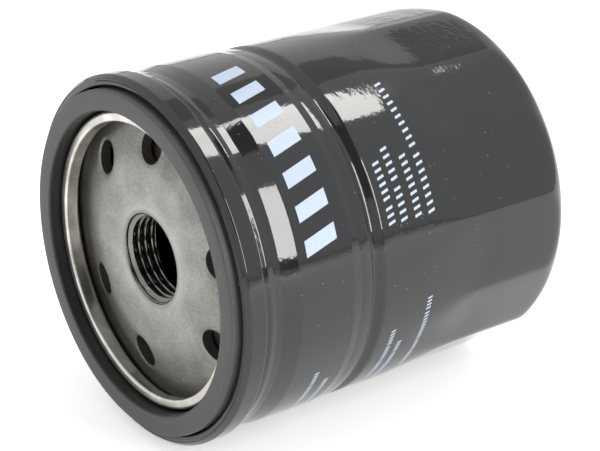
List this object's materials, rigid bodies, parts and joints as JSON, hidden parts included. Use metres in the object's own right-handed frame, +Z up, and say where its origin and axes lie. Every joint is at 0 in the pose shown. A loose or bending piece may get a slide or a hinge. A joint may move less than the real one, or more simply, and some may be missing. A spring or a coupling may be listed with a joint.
{
  "type": "oil filter",
  "caption": "Spin-on oil filter: black steel canister with wrench flats, seamed lid, rubber sealing gasket, inlet holes round a female thread, and the full inner element.",
  "frame": {"origin": "centre of the sealing gasket's face, which is the plane of the engine's filter pad", "axes": "+Y along the filter's axis from the gasket to the domed end, +Z up as it lies on its side"},
  "size_m": [0.0776, 0.0874, 0.0774],
  "materials": {
    "can_paint": "gloss black enamel",
    "lid_tinplate": "bare tinplate",
    "plate_steel": "oiled mild steel",
    "gasket_rubber": "moulded nitrile, dusty",
    "valve_rubber": "moulded nitrile",
    "cap_steel": "zinc plated",
    "spring_steel": "drawn wire",
    "filter_paper": "resin-cured filter paper",
    "end_plastisol": "cured plastisol"
  },
  "bodies": {
    "housing": {"canister": "can_paint", "seaming_lid": "lid_tinplate", "sealing_gasket": "gasket_rubber", "base_plate": "plate_steel", "element_spring": "spring_steel"},
    "drain_back": {"drain_back_valve": "valve_rubber", "drain_back_washer": "cap_steel", "drain_back_spring": "spring_steel"},
    "element": {"mount_end_cap": "cap_steel", "dome_end_cap": "cap_steel", "element_grommet": "valve_rubber", "mount_end_potting": "end_plastisol", "dome_end_potting": "end_plastisol", "centre_tube": "cap_steel", "filter_media": "filter_paper", "media_clip": "cap_steel", "bypass_seat": "cap_steel", "bypass_cage": "cap_steel", "bypass_spring": "spring_steel", "spring_locator": "cap_steel"},
    "bypass_poppet": {"bypass_seal": "valve_rubber", "bypass_disc": "cap_steel", "bypass_pin": "spring_steel"}
  },
  "joints": [
    {"name": "drain_back_lift", "type": "slide", "parent": "housing", "child": "drain_back", "axis": [0, 1, 0], "range_m": [0, 0.0018], "stiffness_N_per_m": 150, "springref_m": -0.004, "deforming": ["drain_back_spring"]},
    {"name": "element_float", "type": "slide", "parent": "housing", "child": "element", "axis": [0, 1, 0], "range_m": [0, 0.0015], "stiffness_N_per_m": 8000, "springref_m": -0.006, "deforming": ["element_spring"]},
    {"name": "bypass_open", "type": "slide", "parent": "element", "child": "bypass_poppet", "axis": [0, -1, 0], "range_m": [0, 0.004], "stiffness_N_per_m": 2800, "springref_m": -0.005, "deforming": ["bypass_spring"]}
  ]
}
